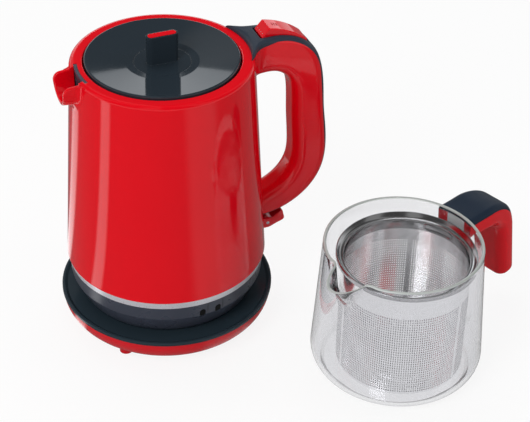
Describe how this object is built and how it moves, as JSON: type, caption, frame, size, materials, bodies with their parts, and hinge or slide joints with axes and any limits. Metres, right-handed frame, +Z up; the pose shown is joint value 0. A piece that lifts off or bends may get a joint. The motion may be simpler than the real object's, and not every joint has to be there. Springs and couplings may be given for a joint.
{
  "type": "tea maker",
  "caption": "Cordless electric kettle on a round base station, with a lift-off lid, rocker and lever switches, beside a glass teapot with a side handle and a lift-out steel infuser.",
  "frame": {"origin": "middle of the set's footprint, on the surface it stands on", "axes": "+Z up; +X from the kettle's spout to its handle; the teapot stands towards -Y"},
  "size_m": [0.3436, 0.2728, 0.2463],
  "materials": {
    "red_gloss": "high gloss moulded",
    "red_moulding": "semi-gloss moulded",
    "dark_plastic": "fine satin",
    "grey_plastic": "satin",
    "lid_gloss": "gloss",
    "soft_grey": "soft-touch",
    "soft_navy": "soft-touch satin",
    "silver_trim": "satin plated",
    "black_rubber": "matte",
    "brass": "plain",
    "screw_steel": "plain",
    "smoked_lens": "smoked",
    "circuit_board": "solder mask",
    "liner_steel": "brushed",
    "silicone": "translucent",
    "cast_aluminium": "cast",
    "clear_glass": "clear polished",
    "clear_silicone": "translucent",
    "polished_steel": "polished",
    "mesh_steel": "perforated sheet"
  },
  "bodies": {
    "base": {"base_shell": "red_moulding", "cord_gland": "black_rubber", "base_foot_pads": "black_rubber", "base_plate": "dark_plastic", "base_connector": "dark_plastic", "base_contacts": "brass", "base_screws": "screw_steel"},
    "kettle_socket": {"kettle_socket": "dark_plastic", "socket_contacts": "brass"},
    "kettle": {"kettle_bottom_cover": "dark_plastic", "kettle_base_ring": "grey_plastic", "indicator_lenses": "smoked_lens", "bottom_screws": "screw_steel", "control_board": "circuit_board", "power_switch": "dark_plastic", "silver_ring": "silver_trim", "kettle_shell": "red_gloss", "spout_filter": "grey_plastic", "kettle_liner": "liner_steel", "liner_seal": "silicone", "heating_plate": "cast_aluminium", "heating_element": "liner_steel", "handle_shell": "red_gloss", "handle_spine": "soft_grey", "handle_screws": "screw_steel", "rocker_pin": "screw_steel", "lever_pin": "screw_steel"},
    "rocker": {"rocker_button": "red_gloss"},
    "power_lever": {"power_lever": "red_gloss"},
    "lid": {"lid_dish": "lid_gloss", "lid_plug": "dark_plastic", "lid_seal": "silicone", "lid_grip": "lid_gloss", "grip_inlay": "red_gloss", "lid_screw": "screw_steel"},
    "teapot": {"glass_pot": "clear_glass", "pot_handle_frame": "red_gloss", "pot_handle_cover": "soft_navy", "pot_handle_pad": "clear_silicone"},
    "infuser": {"infuser_rim": "polished_steel", "infuser_mesh": "mesh_steel", "infuser_bottom": "mesh_steel"}
  },
  "joints": [
    {"name": "kettle_lift", "type": "slide", "parent": "base", "child": "kettle_socket", "axis": [0, 0, 1], "range_m": [0, 0.06]},
    {"name": "kettle_swivel", "type": "hinge", "parent": "kettle_socket", "child": "kettle", "pos_m": [-0.08936, 0.05389, 0.04], "axis": [0, 0, 1], "continuous": true},
    {"name": "lid_lift", "type": "slide", "parent": "kettle", "child": "lid", "axis": [0, 0, 1], "range_m": [0, 0.05]},
    {"name": "rocker_tilt", "type": "hinge", "parent": "kettle", "child": "rocker", "pos_m": [0.00464, 0.05389, 0.2238], "axis": [0, -1, 0], "range_deg": [0, 9]},
    {"name": "lever_tilt", "type": "hinge", "parent": "kettle", "child": "power_lever", "pos_m": [-0.00876, 0.05389, 0.0664], "axis": [0, 1, 0], "range_deg": [0, 12]},
    {"name": "teapot_lift", "type": "slide", "parent": "base", "child": "teapot", "axis": [0, 0, 1], "range_m": [0, 0.12]},
    {"name": "infuser_lift", "type": "slide", "parent": "teapot", "child": "infuser", "axis": [0, 0, 1], "range_m": [0, 0.11]}
  ]
}
